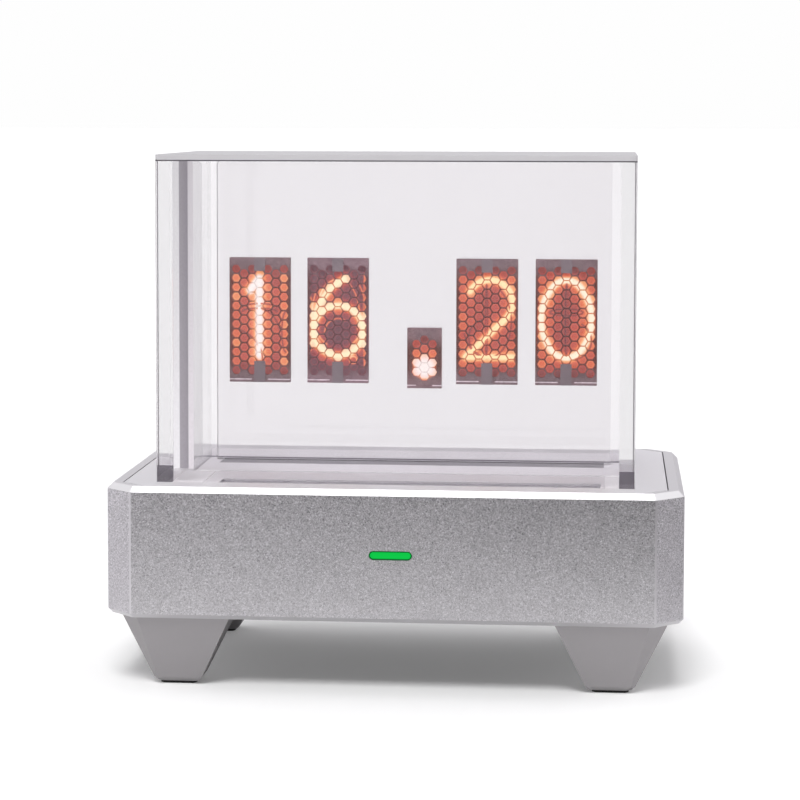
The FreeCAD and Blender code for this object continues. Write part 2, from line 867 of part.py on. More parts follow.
def screws():
    lamp_points = lamp_screw_points(tray_low - board_thickness)
    return {
        "cover_screws": flat_screws(post_points(base_low), cover_screw_length, 1),
        "tray_screws": flat_screws(post_points(tray_top), tray_screw_length, -1),
        "foot_screws": pan_screws(foot_points(cover_top), screw_radius, foot_screw_length, -1),
        "board_screws": pan_screws(board_points(board_top), small_radius, board_screw_length, -1),
        "lamp_board_screws": pan_screws(lamp_points, small_radius, lamp_screw_length, 1),
    }


def numbered(name, solids):
    return {f"{name}_{number}": solid for number, solid in enumerate(solids, start=1)}


def in_named_corners(name, shape):
    corners = ("front_right", "front_left", "rear_right", "rear_left")
    return {f"{name}_{corner}": solid for corner, solid in zip(corners, in_corners(shape))}


def all_parts():
    parts = {
        "base_shell": base_shell(),
        "top_plate": top_plate(),
        "deck_insert": deck_insert(),
        "lamp_window": lamp_window(),
        "hood_tray": hood_tray(),
        "hood_gaskets": side_gasket_rooms(),
        "bottom_cover": bottom_cover(),
        "main_board": main_board(),
        "control_chip": on_board(0, chip_y, chip_size, chip_height),
        "lamp_driver": on_board(driver_x, driver_y, driver_size, chip_height),
        "cell_holder": cell_holder(),
        "coin_cell": coin_cell(),
        "status_led": on_board(0, status_led_y, status_led_size, status_led_height),
        "status_lens": status_lens(),
        "power_inlet": power_inlet(),
        "button_switches": [button_switch(x) for x in button_xs],
        "lamp_board": lamp_board(),
        "lamp_leds": lamp_leds(),
        "lamp_header": lamp_header(),
    }
    parts.update(hood_panes())
    parts.update(display_parts())
    parts.update(numbered("setting_button", [setting_button(x) for x in button_xs]))
    parts.update(in_named_corners("foot", foot()))
    parts.update(in_named_corners("foot_pad", foot_pad()))
    parts.update(screws())
    return parts


os.makedirs("parts", exist_ok=True)
for node, shape in all_parts().items():
    solid = Part.makeCompound(shape) if isinstance(shape, list) else shape
    solid.exportStep(f"parts/{node}.step")
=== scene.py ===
import math
import random

import bpy
from mathutils import Matrix, Vector
from mathutils.bvhtree import BVHTree
from mathutils.kdtree import KDTree


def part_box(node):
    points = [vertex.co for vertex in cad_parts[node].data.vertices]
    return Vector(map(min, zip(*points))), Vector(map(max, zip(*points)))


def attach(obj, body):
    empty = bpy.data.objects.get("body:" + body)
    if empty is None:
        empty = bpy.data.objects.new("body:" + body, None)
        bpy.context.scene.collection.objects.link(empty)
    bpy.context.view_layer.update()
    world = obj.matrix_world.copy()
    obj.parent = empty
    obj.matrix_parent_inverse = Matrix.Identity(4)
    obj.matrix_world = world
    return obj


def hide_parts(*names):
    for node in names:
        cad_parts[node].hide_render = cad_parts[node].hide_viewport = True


# A desk clock whose numerals glow on a clear plate inside a tall clear hood.
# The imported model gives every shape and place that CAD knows; this file adds the looks.

bl_info = {
    "name": "Holographic desk clock",
    "version": (1, 0, 0),
    "blender": (4, 5, 0),
    "location": "View3D > Sidebar > Clock",
    "description": "Dresses a packed desk clock: its housing, hood and glowing digit cells",
    "category": "Object",
}

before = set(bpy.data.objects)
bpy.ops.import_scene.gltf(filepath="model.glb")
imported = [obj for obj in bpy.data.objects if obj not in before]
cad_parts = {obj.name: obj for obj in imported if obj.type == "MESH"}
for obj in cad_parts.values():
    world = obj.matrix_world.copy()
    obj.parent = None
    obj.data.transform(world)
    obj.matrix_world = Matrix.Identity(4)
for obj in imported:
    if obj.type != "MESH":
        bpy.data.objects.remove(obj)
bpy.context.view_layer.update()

MM = 0.001
DIGITS = (1, 2, 3, 4)
WALL_NODES = (
    "hood_front_pane",
    "hood_front_sill",
    "hood_back_pane",
    "hood_left_pane",
    "hood_right_pane",
)

# What the studio's sides and floor look like to metal and acrylic
LEFT_SIDE = "#e0dfe2"
RIGHT_SIDE = "#a3a1a4"
CAMERA_LEFT = "#bebcbf"
CAMERA_RIGHT = "#454346"
BACK_SIDE = "#cfcdd1"
FLOOR_LEFT = "#d6d4d7"
FLOOR_RIGHT = "#b4b2b5"

# Where the mirrored floor turns from one tone to the next, in metres from the clock's middle
SIDE_NEAR = 0.09
SIDE_FAR = 0.16
AHEAD_LEFT = -0.15
AHEAD_RIGHT = 0.10
FRONT_FAR = -0.30
FRONT_NEAR = -0.10

# Strength of the ceiling and of the light boxes at the front corners, as metal mirrors them
CEILING = 1.15
SOFTBOX = 2.6

# Bounces after which light inside the acrylic counts as trapped and is painted as a pale glow
TRAPPED = 5.5

# Thickness of the cement joint under the lid, and what is left free above it so that no faces coincide
BOND = 0.3 * MM
BOND_PLAY = 0.02 * MM

# How far the cement strip reaches from the left pane: milky first, then grey with painted shade, then thin
BEAD_MILKY = 1.5 * MM
BEAD_GREY = 3.5 * MM
BEAD_THIN = 4.7 * MM

# Half the width over which one tone of the cement turns into the next
BEAD_BLUR = 0.08 * MM

# Width of a streak in the cement
STREAK = 0.5 * MM

# Grain of a spark-eroded mould
MOULD_GRAIN = 0.5 * MM


def linear(code):
    """Blender's linear colour for an sRGB colour such as "#d7d5d9"."""
    channels = [int(code[place:place + 2], 16) / 255 for place in (1, 3, 5)]
    return [c / 12.92 if c <= 0.04045 else ((c + 0.055) / 1.055) ** 2.4 for c in channels] + [1.0]


def colour(code, name, description):
    return bpy.props.FloatVectorProperty(
        name=name,
        description=description,
        subtype="COLOR",
        size=4,
        min=0.0,
        max=1.0,
        default=linear(code),
    )


def length(millimetres, name, description):
    return bpy.props.FloatProperty(
        name=name,
        description=description,
        default=millimetres * MM,
        min=0.0,
        unit="LENGTH",
        precision=5,
    )


def node(holder, kind, inputs=None, **settings):
    """Adds a shader node of a kind such as "Math" to a material or world.

    Each input is given a value, a socket that it is linked to, or a node, which gives its first output.
    """
    tree = holder.node_tree
    made = tree.nodes.new("ShaderNode" + kind)
    for name, value in settings.items():
        setattr(made, name, value)
    for name, value in (inputs or {}).items():
        if isinstance(value, bpy.types.Node):
            value = next(output for output in value.outputs if output.enabled)
        if isinstance(value, bpy.types.NodeSocket):
            tree.links.new(value, made.inputs[name])
        else:
            made.inputs[name].default_value = value
    return made


def new_material(name):
    """An empty material, ready for its own nodes."""
    material = bpy.data.materials.new(name)
    material.use_nodes = True
    material.node_tree.nodes.clear()
    return material


def true_normal(material):
    """The direction that a face is turned to, as X, Y and Z."""
    geometry = node(material, "NewGeometry")
    return node(material, "SeparateXYZ", {0: geometry.outputs["True Normal"]})


def dress(names, material):
    """Gives CAD nodes a material, on every slot that they have."""
    for name in names:
        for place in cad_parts[name].material_slots:
            place.material = material


def blasted_aluminium(name, face, painted_glint_tone, grit, roughness):
    """Bead-blasted aluminium with cut edges painted bright: satin grey sides of fine pits, painted glints and
    painted shade.
    """
    material = new_material(name)
    place = node(material, "TexCoord").outputs["Object"]
    normal = true_normal(material)
    upright, square = upright_faces(material, normal)
    height = node(material, "SeparateXYZ", {0: place}).outputs["Z"]
    low, high = (corner.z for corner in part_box("base_shell"))

    def by_height(foot, top):
        """A number that goes from one value at the housing's foot to another at its top."""
        ends = {"Value": height, "From Min": low, "From Max": high, "To Min": foot, "To Max": top}
        return node(material, "MapRange", ends)

    grains = node(
        material,
        "TexNoise",
        {"Vector": place, "Scale": 1 / grit, "Detail": 2.0, "Roughness": 0.7, "Distortion": 1.2},
    )
    cloud = node(
        material,
        "TexNoise",
        {"Vector": place, "Scale": 0.05 / grit, "Detail": 4.0, "Roughness": 0.6},
    )
    pits = node(
        material,
        "MapRange",
        {
            "Value": grains,
            "From Min": 0.25,
            "From Max": 0.75,
            "To Min": by_height(0.5, 0.05),
            "To Max": by_height(1.5, 1.95),
        },
    )
    shade = node(
        material,
        "MapRange",
        {"Value": cloud, "From Min": 0.3, "From Max": 0.7, "To Min": 0.96, "To Max": 1.04},
    )
    # Painted shade: the square faces are darkened towards the housing's top.
    painted_shade_slope = node(material, "Math", {0: by_height(-0.08, -0.22), 1: square}, operation="MULTIPLY")
    painted_height_shade = node(material, "Math", {0: painted_shade_slope, 1: 1.0}, operation="ADD")
    grey = node(material, "Math", {0: pits, 1: shade}, operation="MULTIPLY")
    grain_with_painted_shade = node(material, "Math", {0: grey, 1: painted_height_shade}, operation="MULTIPLY")
    body = node(
        material,
        "Mix",
        {"Factor": 1.0, "A": face, "B": grain_with_painted_shade},
        data_type="RGBA",
        blend_type="MULTIPLY",
    )
    # Painted highlight: the highest grains are mixed towards white as glints, more of them towards the top.
    bright = node(
        material,
        "MapRange",
        {"Value": grains, "From Min": 0.62, "From Max": 0.78, "To Min": 0.0, "To Max": 0.7},
    )
    glints = node(material, "Math", {0: bright, 1: by_height(0.2, 1.3)}, operation="MULTIPLY")
    with_painted_glints = node(material, "Mix", {"Factor": glints, "A": body, "B": painted_glint_tone}, data_type="RGBA")
    # Painted shade and highlight: bevel faces turned down are painted darker, those turned up near white.
    facing_up = node(
        material, "MapRange", {"Value": normal.outputs["Z"], "From Min": -0.2, "From Max": 0.2}
    )
    painted_bevel_shade = node(
        material,
        "Mix",
        {"Factor": facing_up, "A": linear("#bfbdc0"), "B": linear("#e4e2e5")},
        data_type="RGBA",
    )
    tint = node(material, "Mix", {"Factor": upright, "A": painted_bevel_shade, "B": with_painted_glints}, data_type="RGBA")
    rough = node(material, "MapRange", {"Value": upright, "To Min": 0.3, "To Max": roughness})
    depth = node(material, "Math", {0: upright, 1: grains}, operation="MULTIPLY")
    relief = node(material, "Bump", {"Strength": 0.3, "Distance": 0.02 * MM, "Height": depth})
    shader = node(
        material,
        "BsdfPrincipled",
        {"Base Color": tint, "Metallic": 1.0, "Roughness": rough, "Normal": relief},
    )
    node(material, "OutputMaterial", {"Surface": shader})
    return material


def upright_faces(material, normal):
    """Masks of all upright faces without the chamfers of their edges, and of the square ones alone.

    The fourth powers of a normal's X and Y add up to 1 on a square face and to 0.5 on a cut corner.
    """
    power_x = node(material, "Math", {0: normal.outputs["X"], 1: 4.0}, operation="POWER")
    power_y = node(material, "Math", {0: normal.outputs["Y"], 1: 4.0}, operation="POWER")
    both = node(material, "Math", {0: power_x, 1: power_y}, operation="ADD")
    corner = node(material, "Math", {0: both, 1: 0.5, 2: 0.08}, operation="COMPARE")
    square = node(material, "Math", {0: both, 1: 0.9}, operation="GREATER_THAN")
    upright = node(material, "Math", {0: corner, 1: square}, operation="MAXIMUM")
    return upright, square


def smooth_metal(name, tone, roughness, metallic=1.0, painted_bright_edges=False):
    """Fine-blasted or plated metal: too fine to glitter, a little cloudy, and painted whitish as a highlight
    where it is sawn.
    """
    material = new_material(name)
    place = node(material, "TexCoord").outputs["Object"]
    cloudiness = {"Vector": place, "Scale": 1 / (1.2 * MM), "Detail": 5.0}
    cloud = node(material, "TexNoise", cloudiness)
    span = {"Value": cloud, "To Min": roughness - 0.04, "To Max": roughness + 0.04}
    rough = node(material, "MapRange", span)
    shader = node(
        material, "BsdfPrincipled", {"Base Color": tone, "Metallic": metallic, "Roughness": rough}
    )
    if painted_bright_edges:
        # Painted highlight: faces that are not flat become a near-white diffuse that stands for bright cut
        # metal.
        normal = true_normal(material)
        flat = node(
            material, "MapRange", {"Value": normal.outputs["Z"], "From Min": 0.5, "From Max": 0.6}
        )
        sawn = node(material, "BsdfDiffuse", {"Color": linear("#fbfafc")})
        shader = node(material, "MixShader", {"Fac": flat, 1: sawn, 2: shader})
    node(material, "OutputMaterial", {"Surface": shader})
    return material


def plastic(name, tone, roughness):
    """Moulded plastic, rubber or lacquer: an even tone with the fine grain of its mould."""
    material = new_material(name)
    place = node(material, "TexCoord").outputs["Object"]
    grain = {"Vector": place, "Scale": 1 / MOULD_GRAIN, "Detail": 6.0, "Roughness": 0.6}
    skin = node(material, "TexNoise", grain)
    relief = node(material, "Bump", {"Strength": 0.12, "Distance": 0.03 * MM, "Height": skin})
    span = {"Value": skin, "To Min": roughness - 0.05, "To Max": roughness + 0.05}
    rough = node(material, "MapRange", span)
    shader = node(material, "BsdfPrincipled", {"Base Color": tone, "Roughness": rough, "Normal": relief})
    node(material, "OutputMaterial", {"Surface": shader})
    return material


def acrylic(name, tone, ground_edges=None, polished_axis="Z", seat=None):
    """Clear cast acrylic, with satin sawn edges if they have a colour.

    Shadow rays pass through it, and light that has been thrown about inside a pane many times is painted
    as an even pale glow, as pale as the studio. A hood that stands on foam at the height of its seat shows
    the foam there.
    """
    material = new_material(name)
    path = node(material, "LightPath")
    clear = node(
        material,
        "BsdfPrincipled",
        {"Base Color": tone, "Roughness": 0.0, "IOR": 1.49, "Transmission Weight": 1.0},
    )
    through = node(material, "BsdfTransparent", {"Color": tone})
    bounces = {0: path.outputs["Ray Depth"], 1: TRAPPED}
    trapped = node(material, "Math", bounces, operation="GREATER_THAN")
    # Painted light: a ray that has bounced too often ends on this glow instead of being traced further.
    pale = node(material, "Emission", {"Color": linear("#d9d7da"), "Strength": 1.0})
    lit = node(material, "MixShader", {"Fac": trapped, 1: clear, 2: pale})
    shadow = path.outputs["Is Shadow Ray"]
    mixed = node(material, "MixShader", {"Fac": shadow, 1: lit, 2: through})
    if seat is not None:
        mixed = seated(material, mixed, seat)
    if not ground_edges:
        haze = node(material, "VolumeAbsorption", {"Color": linear("#5f5c5e"), "Density": 3.4})
        node(material, "OutputMaterial", {"Surface": mixed, "Volume": haze})
        return material
    normal = true_normal(material)
    facing = node(material, "Math", {0: normal.outputs[polished_axis]}, operation="ABSOLUTE")
    polished = node(material, "Math", {0: facing, 1: 0.5}, operation="GREATER_THAN")
    satin = node(material, "BsdfPrincipled", {"Base Color": ground_edges, "Roughness": 0.45})
    edged = node(material, "MixShader", {"Fac": polished, 1: satin, 2: mixed})
    node(material, "OutputMaterial", {"Surface": edged})
    return material


def seated(material, clear, seat):
    """Clear acrylic with foam pressed against its foot and with satin upright edges."""
    place = node(material, "TexCoord").outputs["Object"]
    parts = node(material, "SeparateXYZ", {0: place})
    level = {0: parts.outputs["Z"], 1: seat + 0.02 * MM}
    foot = node(material, "Math", level, operation="LESS_THAN")
    foam = node(material, "BsdfDiffuse", {"Color": linear("#7b777e")})
    footed = node(material, "MixShader", {"Fac": foot, 1: clear, 2: foam})
    normal = true_normal(material)
    sides = {0: normal.outputs["X"], 1: normal.outputs["Y"]}
    slant = node(material, "Math", sides, operation="MULTIPLY")
    size = node(material, "Math", {0: slant}, operation="ABSOLUTE")
    broken = node(material, "Math", {0: size, 1: 0.3}, operation="GREATER_THAN")
    satin = node(material, "BsdfDiffuse", {"Color": linear("#c8c5c9")})
    return node(material, "MixShader", {"Fac": broken, 1: footed, 2: satin})


def mirror_rays(holder, path):
    """One for light that metal or acrylic mirrors, and nought for light that has come through acrylic."""
    rays = {0: path.outputs["Is Glossy Ray"], 1: path.outputs["Is Transmission Ray"]}
    return node(holder, "Math", rays, operation="SUBTRACT", use_clamp=True)


def seen_rays(holder, path):
    """One for light that the camera sees, straight or through acrylic."""
    rays = {0: path.outputs["Is Camera Ray"], 1: path.outputs["Is Transmission Ray"]}
    return node(holder, "Math", rays, operation="MAXIMUM")


def changing(holder, first, *steps):
    """A colour that turns into the next over a value's range. A step is a value, two ends and a colour."""
    tone = first
    for value, low, high, second in steps:
        share = node(holder, "MapRange", {"Value": value, "From Min": low, "From Max": high})
        tone = node(holder, "Mix", {"Factor": share, "A": tone, "B": second}, data_type="RGBA")
    return tone


def studio_floor(name, paper_code, lift):
    """Pale paper sweep. The camera sees it lifted towards white, and metal mirrors it darker to the right."""
    material = new_material(name)
    path = node(material, "LightPath")
    place = node(material, "TexCoord").outputs["Object"]
    parts = node(material, "SeparateXYZ", {0: place})
    across, along = parts.outputs["X"], parts.outputs["Y"]
    plain = linear(paper_code)
    beside = changing(
        material,
        linear(FLOOR_LEFT),
        (across, -SIDE_FAR, -SIDE_NEAR, plain),
        (across, SIDE_NEAR, SIDE_FAR, linear(FLOOR_RIGHT)),
    )
    turned = (across, AHEAD_LEFT, AHEAD_RIGHT, linear(CAMERA_RIGHT))
    ahead = changing(material, linear(CAMERA_LEFT), turned)
    mirrored = changing(material, ahead, (along, FRONT_FAR, FRONT_NEAR, beside))
    shares = {"Factor": mirror_rays(material, path), "A": plain, "B": mirrored}
    shade = node(material, "Mix", shares, data_type="RGBA")
    paper = node(material, "BsdfDiffuse", {"Color": shade})
    glow = node(material, "Emission", {"Color": linear("#ffffff"), "Strength": 1.0})
    amount = node(material, "Math", {0: seen_rays(material, path), 1: lift}, operation="MULTIPLY")
    mixed = node(material, "MixShader", {"Fac": amount, 1: paper, 2: glow})
    node(material, "OutputMaterial", {"Surface": mixed})
    return material


def studio_world():
    """A white studio to the eye. Metal and acrylic mirror a brighter ceiling and darker sides.

    Each tone changes over a part of the direction's length, from -1 to 1 along an axis.
    """
    world = bpy.data.worlds.new("studio")
    world.use_nodes = True
    world.node_tree.nodes.clear()
    path = node(world, "LightPath")
    coords = node(world, "TexCoord")
    across, along, up = node(world, "SeparateXYZ", {0: coords.outputs["Generated"]}).outputs
    sides = changing(world, linear(LEFT_SIDE), (across, -0.7, 0.7, linear(RIGHT_SIDE)))
    facing = changing(world, linear(CAMERA_LEFT), (across, -0.3, 0.15, linear(CAMERA_RIGHT)))
    mirrored = changing(
        world,
        sides,
        (along, -0.5, -0.9, facing),
        (along, -0.1, 0.5, linear(BACK_SIDE)),
        (up, 0.25, 0.7, [CEILING, CEILING, CEILING, 1.0]),
    )
    aside = node(world, "Math", {0: across}, operation="ABSOLUTE")
    inner = node(world, "MapRange", {"Value": aside, "From Min": 0.68, "From Max": 0.72})
    outer = node(
        world,
        "MapRange",
        {"Value": aside, "From Min": 0.86, "From Max": 0.90, "To Min": 1.0, "To Max": 0.0},
    )
    width = node(world, "Math", {0: inner, 1: outer}, operation="MULTIPLY")
    front = node(world, "MapRange", {"Value": along, "From Min": -0.30, "From Max": -0.40})
    softbox = node(world, "Math", {0: width, 1: front}, operation="MULTIPLY")
    boxed = node(
        world,
        "Mix",
        {"Factor": softbox, "A": mirrored, "B": [SOFTBOX, SOFTBOX, SOFTBOX, 1.0]},
        data_type="RGBA",
    )
    mirror_light = node(world, "Background", {"Color": boxed, "Strength": 1.0})
    white = node(world, "Background", {"Color": linear("#fefefe"), "Strength": 1.0})
    backlight = node(
        world,
        "MapRange",
        {"Value": along, "From Min": -0.8, "From Max": 0.8, "To Min": 0.1, "To Max": 1.25},
    )
    fill = node(world, "Background", {"Color": linear("#fbfafc"), "Strength": backlight})
    seen = node(world, "MixShader", {"Fac": seen_rays(world, path), 1: fill, 2: white})
    mixed = node(world, "MixShader", {"Fac": mirror_rays(world, path), 1: seen, 2: mirror_light})
    node(world, "OutputWorld", {"Surface": mixed})
    return world


class ClockStage(bpy.types.PropertyGroup):
    camera_place: bpy.props.FloatVectorProperty(
        name="Camera place",
        description="Where the camera stands",
        subtype="TRANSLATION",
        default=(0.048184, -0.587657, 0.128168),
        precision=5,
    )
    camera_turn: bpy.props.FloatProperty(
        name="Camera turn",
        description="How far the camera is turned to the left",
        subtype="ANGLE",
        default=math.radians(5.4651),
    )
    camera_dip: bpy.props.FloatProperty(
        name="Camera dip",
        description="How far the camera looks down",
        subtype="ANGLE",
        default=math.radians(3.9873),
    )
    camera_roll: bpy.props.FloatProperty(
        name="Camera roll",
        description="How far the camera leans",
        subtype="ANGLE",
        default=math.radians(0.0788),
    )
    lens: bpy.props.FloatProperty(
        name="Lens",
        description="Focal length in millimetres on a 36 mm wide frame",
        default=112.667,
    )
    lens_shift: bpy.props.FloatVectorProperty(
        name="Lens shift",
        description="How far the picture is cut from beside the lens's axis, in picture widths",
        size=2,
        default=(0.03588, -0.13402),
        precision=5,
    )


class CLOCK_OT_stage(bpy.types.Operator):
    """Lays the floor and sets the lights, the world and the camera"""

    bl_idname = "clock.stage"
    bl_label = "Stage"

    def execute(self, context):
        wanted = context.scene.clock_stage
        scene = context.scene
        scene.view_settings.view_transform = "Standard"
        bpy.ops.object.select_all(action="DESELECT")
        bpy.ops.mesh.primitive_plane_add(size=60.0, location=(0, 0, 0))
        floor = context.object
        floor.name = "floor"
        floor.data.materials.append(studio_floor("paper sweep", "#fdfdfd", lift=0.14))

        sun = bpy.data.lights.new("overhead diffuser", "SUN")
        sun.energy = 1.95
        sun.angle = math.radians(22)
        above = bpy.data.objects.new("overhead diffuser", sun)
        scene.collection.objects.link(above)
        above.rotation_euler = (math.radians(31), math.radians(-3), 0)

        scene.world = studio_world()

        camera = bpy.data.cameras.new("camera")
        camera.sensor_width = 36
        camera.lens = wanted.lens
        camera.shift_x, camera.shift_y = wanted.lens_shift
        camera.clip_start = 0.01
        camera.dof.use_dof = False
        eye = bpy.data.objects.new("camera", camera)
        scene.collection.objects.link(eye)
        turn = Matrix.Rotation(wanted.camera_turn, 4, "Z")
        dip = Matrix.Rotation(math.radians(90) - wanted.camera_dip, 4, "X")
        roll = Matrix.Rotation(wanted.camera_roll, 4, "Z")
        eye.matrix_world = Matrix.Translation(wanted.camera_place) @ turn @ dip @ roll
        scene.camera = eye
        return {"FINISHED"}


class ClockFinishes(bpy.types.PropertyGroup):
    housing: colour("#cbc9cc", "Housing", "Sides of the blasted housing")
    top: colour("#dddbdf", "Top", "Plate that closes the housing")
    deck: colour("#cdcacf", "Deck", "Plate around the hood's seat")
    feet: colour("#9d9a9c", "Feet", "Anodised feet")
    hood: colour("#f6f5f6", "Hood", "Tint of the hood's acrylic")
    light: colour("#12c94a", "Light", "Middle of the light guide")


class CLOCK_OT_housing(bpy.types.Operator):
    """Finishes the housing, the deck, the feet and the pads"""

    bl_idname = "clock.housing"
    bl_label = "Housing"

    def execute(self, context):
        wanted = context.scene.clock_finishes

        # The grit is drawn about twice as coarse as real bead blasting, so that its painted glints show
        blasted = blasted_aluminium(
            "bead-blasted aluminium", wanted.housing, linear("#ffffff"), grit=0.27 * MM, roughness=0.36
        )
        dress(["base_shell"], blasted)

        # Finer blasting: an even satin sheen, with sawn edges painted pale as a highlight
        top = smooth_metal("fine-blasted aluminium", wanted.top, 0.36, metallic=0.5, painted_bright_edges=True)
        dress(["top_plate"], top)

        # Clear anodising leaves the plate around the seat a shade darker
        dress(["deck_insert"], smooth_metal("satin anodised aluminium", wanted.deck, 0.36, metallic=0.5))

        # Grey anodising on the feet is duller than the housing
        feet = [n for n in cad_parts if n.startswith("foot_") and "pad" not in n and "screws" not in n]
        dress(feet, smooth_metal("grey anodised aluminium", wanted.feet, 0.5, metallic=0.6))

        # Rubber is nearly black and matt, and smoked acrylic dark and glossy
        pads = [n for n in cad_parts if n.startswith("foot_pad")]
        dress(pads, plastic("black rubber", linear("#151516"), 0.7))
        dress(["lamp_window"], plastic("smoked acrylic", linear("#6f6c72"), 0.12))

        # Foam swallows light, and the trays' ABS has a soft sheen
        dress(["hood_gaskets"], plastic("grey foam", linear("#5a565c"), 0.8))
        dress(["hood_tray"], plastic("pale grey ABS", linear("#c9c6cb"), 0.4))
        dress(["display_seat"], plastic("dark ABS", linear("#6f6b72"), 0.4))
        return {"FINISHED"}


def select_only(thing):
    bpy.ops.object.select_all(action="DESELECT")
    bpy.context.view_layer.objects.active = thing
    thing.select_set(True)


def box_mesh(name, low, high):
    """A box between two corners, to be cut or bevelled."""
    bpy.ops.object.select_all(action="DESELECT")
    middle = (Vector(low) + Vector(high)) / 2
    bpy.ops.mesh.primitive_cube_add(size=1, location=middle)
    made = bpy.context.object
    made.name = name
    made.scale = Vector(high) - Vector(low)
    bpy.ops.object.transform_apply(location=True, rotation=True, scale=True)
    return made


def cut_away(thing, cutter):
    select_only(thing)
    change = thing.modifiers.new("cut", "BOOLEAN")
    change.object = cutter
    change.operation = "DIFFERENCE"
    change.solver = "EXACT"
    bpy.ops.object.modifier_apply(modifier=change.name)
    bpy.data.objects.remove(cutter)


class CLOCK_OT_hood(bpy.types.Operator):
    """Makes the hood's clear walls as one bonded piece, with the cement of its joints, one strip of it
    painted with shade and glow
    """

    bl_idname = "clock.hood"
    bl_label = "Hood"

    def execute(self, context):
        wanted = context.scene.clock_finishes
        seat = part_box("hood_back_pane")[0].z
        lid_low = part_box("hood_top_pane")[0].z
        clear = acrylic("cast acrylic", wanted.hood, seat=seat)
        walls = self.tube("hood_walls", seat, lid_low - BOND)
        self.bevel(walls)
        self.groove(walls)
        walls.data.materials.append(clear)
        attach(walls, "clock")
        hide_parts(*WALL_NODES)
        bond = self.tube("hood_bond", lid_low - BOND, lid_low - BOND_PLAY)
        self.bevel(bond)
        bond.data.materials.append(self.cement())
        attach(bond, "clock")
        self.bead(lid_low)
        lid = acrylic("cast acrylic with satin edges", linear("#f8f7f9"), ground_edges=linear("#cbc9cc"))
        dress(["hood_top_pane"], lid)
        return {"FINISHED"}

    def cement(self):
        """Acrylic cement: its edge is a dark line, and through the lid it is only a little milky."""
        material = new_material("acrylic cement joint")
        place = node(material, "TexCoord").outputs["Object"]
        ripple = {"Vector": place, "Scale": 1 / STREAK, "Detail": 4.0}
        streaks = node(material, "TexNoise", ripple)
        rough = node(material, "MapRange", {"Value": streaks, "To Min": 0.4, "To Max": 0.6})
        dark = {"Base Color": linear("#5c595d"), "Roughness": rough}
        edge = node(material, "BsdfPrincipled", dark)
        milky = node(material, "BsdfTransparent", {"Color": linear("#ebe9ec")})
        normal = true_normal(material)
        size = node(material, "Math", {0: normal.outputs["Z"]}, operation="ABSOLUTE")
        level = node(material, "Math", {0: size, 1: 0.5}, operation="GREATER_THAN")
        mixed = node(material, "MixShader", {"Fac": level, 1: edge, 2: milky})
        node(material, "OutputMaterial", {"Surface": mixed})
        return material

    def bead(self, top):
        """The cement that has crept along the joint of the front and left panes, as a thin strip with painted
        shade and glow.
        """
        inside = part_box("hood_left_pane")[1].x
        low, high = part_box("hood_front_pane")
        start, milky, grey, end = (inside + part for part in (0.05 * MM, BEAD_MILKY, BEAD_GREY, BEAD_THIN))
        strip = box_mesh("hood_cement_painted_shade", (start, high.y, low.z), (end, high.y + 0.15 * MM, top - BOND))
        self.bevel(strip, 0.05 * MM)
        strip.data.materials.append(self.cement_with_painted_light(low.z, high.z, milky, grey))
        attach(strip, "clock")

    def cement_with_painted_light(self, low, high, milky, grey):
        """Cement that has run into a joint, with painted light: a glow, white where it is thick, then grey
        with painted shade, then thin and clear.
        """
        material = new_material("acrylic cement bead")
        place = node(material, "TexCoord").outputs["Object"]
        parts = node(material, "SeparateXYZ", {0: place})
        across = parts.outputs["X"]
        ripple = {"Vector": place, "Scale": 1 / STREAK, "Detail": 2.0}
        streaks = node(material, "TexNoise", ripple)
        wave = node(material, "MapRange", {"Value": streaks, "To Min": 0.9, "To Max": 1.1})
        # Painted shade: the strip is lighter towards its foot and darker towards the lid.
        height = node(
            material,
            "MapRange",
            {"Value": parts.outputs["Z"], "From Min": low, "From Max": high, "To Min": 1.15, "To Max": 0.9},
        )
        depth = node(material, "Math", {0: wave, 1: height}, operation="MULTIPLY")
        # Painted shade: the grey band marks the dark band along the corner where the front and left panes
        # meet.
        tint = changing(
            material,
            linear("#f4f2f5"),
            (across, milky - BEAD_BLUR, milky + BEAD_BLUR, linear("#b6b1b8")),
            (across, grey - BEAD_BLUR, grey + BEAD_BLUR, linear("#eeeaee")),
        )
        shaded = node(
            material,
            "Mix",
            {"Factor": 1.0, "A": tint, "B": depth},
            data_type="RGBA",
            blend_type="MULTIPLY",
        )
        glass = node(material, "BsdfTransparent", {"Color": shaded})
        # Painted light: most of the strip glows with its own tone instead of being lit.
        painted_glow = node(material, "Emission", {"Color": shaded, "Strength": 0.92})
        share = node(
            material,
            "MapRange",
            {"Value": across, "From Min": milky, "From Max": grey, "To Min": 0.75, "To Max": 0.55},
        )
        mixed = node(material, "MixShader", {"Fac": share, 1: glass, 2: painted_glow})
        node(material, "OutputMaterial", {"Surface": mixed})
        return material

    def tube(self, name, bottom, top):
        """The hood's four walls between two heights."""
        back_low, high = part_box("hood_back_pane")
        front_low, front_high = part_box("hood_front_pane")
        left_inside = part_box("hood_left_pane")[1].x
        right_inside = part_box("hood_right_pane")[0].x
        made = box_mesh(name, (back_low.x, front_low.y, bottom), (high.x, high.y, top))
        room_low = (left_inside, front_high.y, bottom - MM)
        room_high = (right_inside, back_low.y, top + MM)
        cut_away(made, box_mesh("room", room_low, room_high))
        return made

